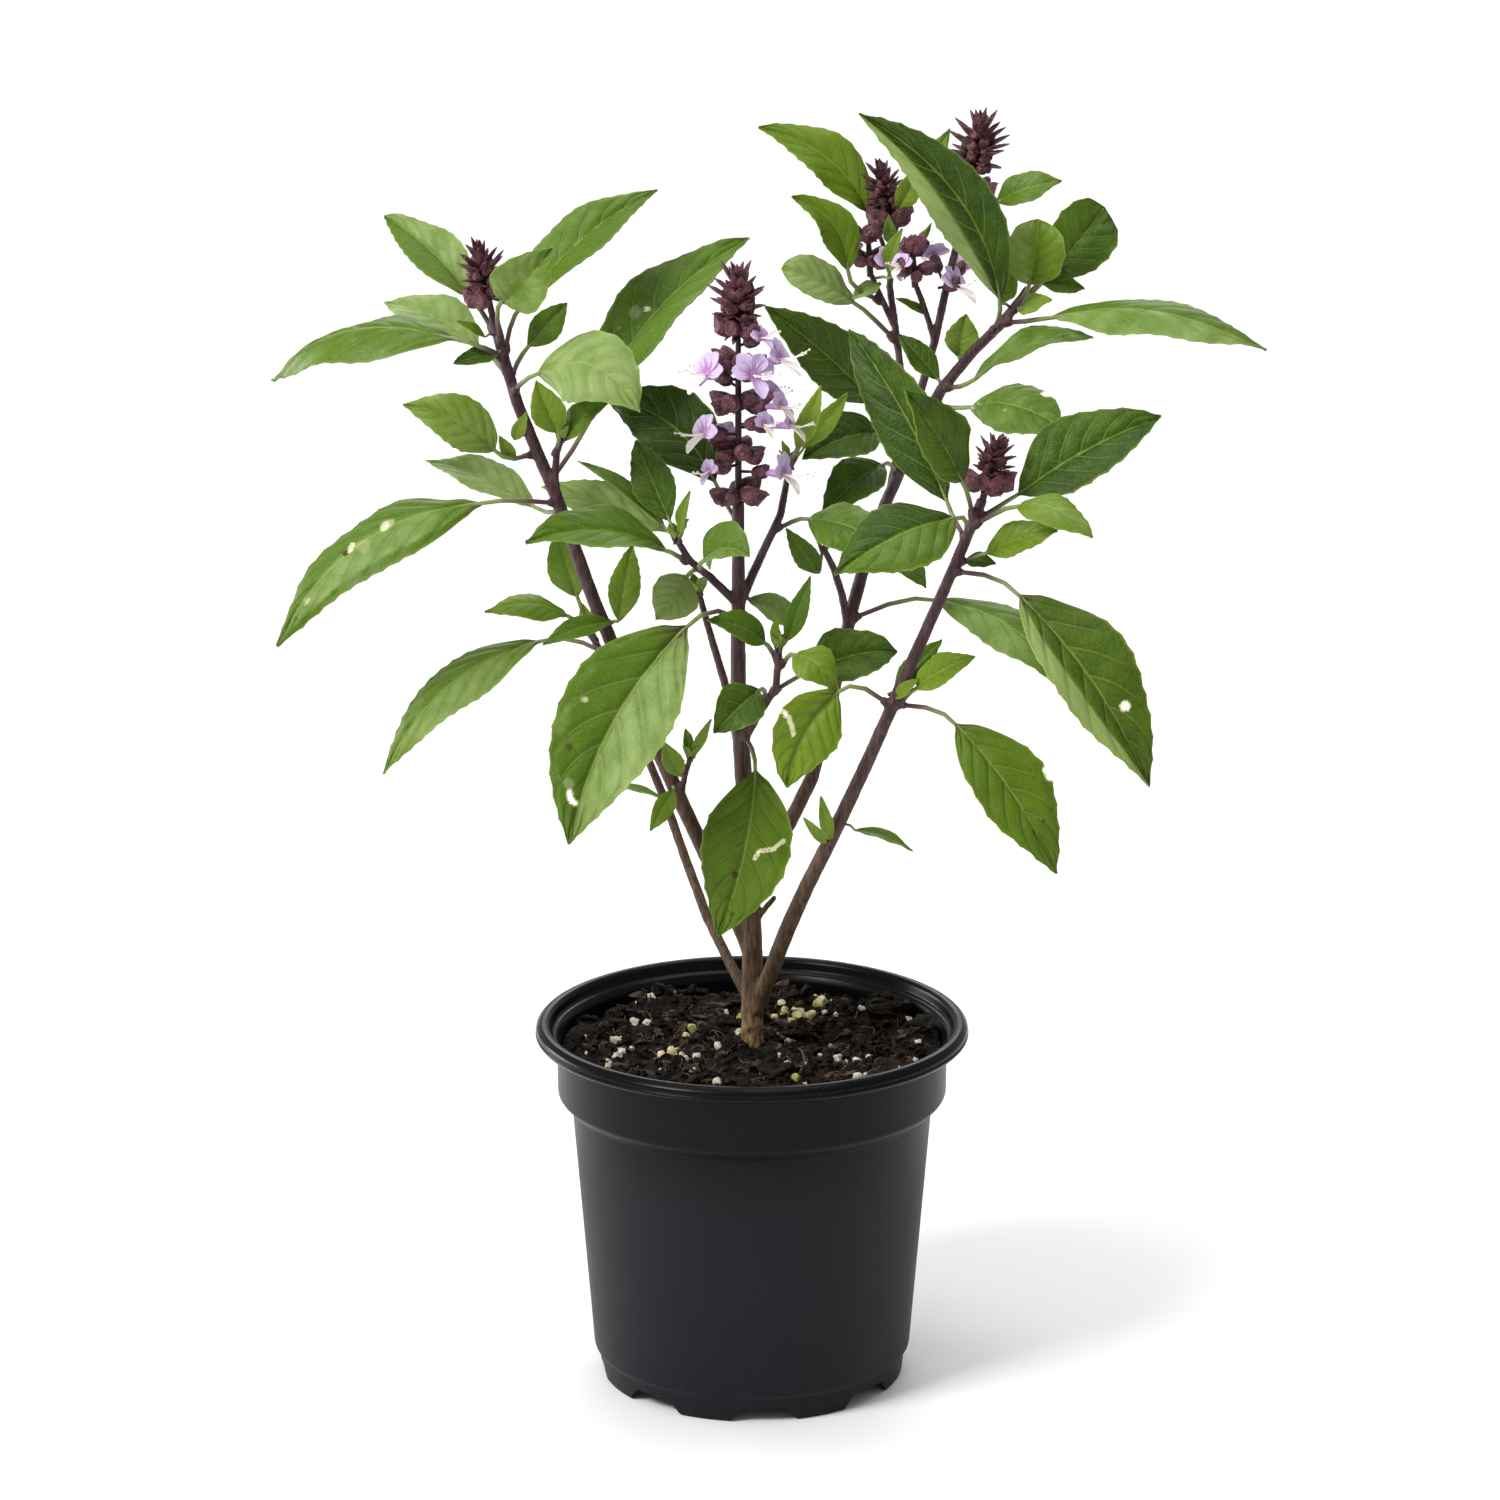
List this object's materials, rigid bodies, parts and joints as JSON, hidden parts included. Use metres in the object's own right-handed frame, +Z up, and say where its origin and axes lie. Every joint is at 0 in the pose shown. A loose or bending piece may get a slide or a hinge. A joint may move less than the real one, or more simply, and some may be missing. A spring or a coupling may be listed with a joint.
{
  "type": "potted basil plant",
  "caption": "Purple-stemmed basil in flower, with branching stems, toothed leaves and lilac flower spikes, in a round black nursery pot with soil.",
  "frame": {"origin": "middle of the flat face under the pot, on the pot's axis, where the pot stands on the table", "axes": "+Z up along the pot's axis; the widest spread of the plant is along X and its fullest side looks along -Y"},
  "size_m": [0.289, 0.1555, 0.381],
  "materials": {
    "pot_plastic": "charcoal black moulded polypropylene, satin, with a glossier rolled lip",
    "potting_soil": "moist dark peat and bark fibre with white perlite grains",
    "stem": "purple-brown ridged stems, turning to tan bark at the foot",
    "leaf": "mid-green toothed leaves with a satin upper side, paler veins and a pale matt underside",
    "young_leaf": "bright yellow-green young leaves, satin",
    "flower_spike": "dark burgundy calyces with pale lilac flowers"
  },
  "bodies": {
    "root": {"pot": "pot_plastic", "soil": "potting_soil", "stems": "stem", "leaf_left_crown": "leaf", "leaf_left_curled": "leaf", "leaf_left_upright": "leaf", "leaf_left_long": "leaf", "leaf_left_behind": "leaf", "leaf_left_inner": "leaf", "leaf_left_broad": "leaf", "leaf_left_tall": "leaf", "leaf_left_bright": "young_leaf", "leaf_left_narrow": "leaf", "leaf_left_droop_top": "leaf", "leaf_left_droop_low": "leaf", "leaf_left_shoot": "young_leaf", "leaf_thin_upright": "leaf", "leaf_thin_side": "leaf", "leaf_bud_long": "leaf", "leaf_bud_folded": "leaf", "leaf_bud_hanging": "leaf", "leaf_centre_large": "leaf", "leaf_centre_behind": "leaf", "leaf_fork_side": "leaf", "leaf_shoot_left": "leaf", "leaf_shoot_right": "leaf", "leaf_centre_hanging": "leaf", "leaf_shoot_top_left": "leaf", "leaf_shoot_bright": "young_leaf", "leaf_right_tall": "leaf", "leaf_right_midrib": "leaf", "leaf_right_broad": "leaf", "leaf_right_pale": "young_leaf", "leaf_right_front": "leaf", "leaf_right_droop": "leaf", "leaf_right_low": "leaf", "leaf_right_olive": "leaf", "leaf_right_node_top": "young_leaf", "leaf_right_node_low": "young_leaf", "leaf_rear_dark": "leaf", "leaf_rear_upper": "leaf", "leaf_rear_under": "leaf", "leaf_back_blunt": "leaf", "leaf_back_top": "leaf", "leaf_back_fork": "leaf", "leaf_rear_great": "leaf", "leaf_tall_side": "leaf", "leaf_rear_round": "young_leaf", "leaf_rear_dark_round": "leaf", "leaf_rear_low_side": "leaf", "leaf_rear_long": "leaf", "leaf_rear_notched": "leaf", "leaf_rear_droop": "leaf", "spike_centre": "flower_spike", "spike_left": "flower_spike", "spike_right": "flower_spike", "spike_tall": "flower_spike", "spike_back": "flower_spike", "flowers_fork": "flower_spike", "flowers_tall": "flower_spike"}
  },
  "joints": []
}
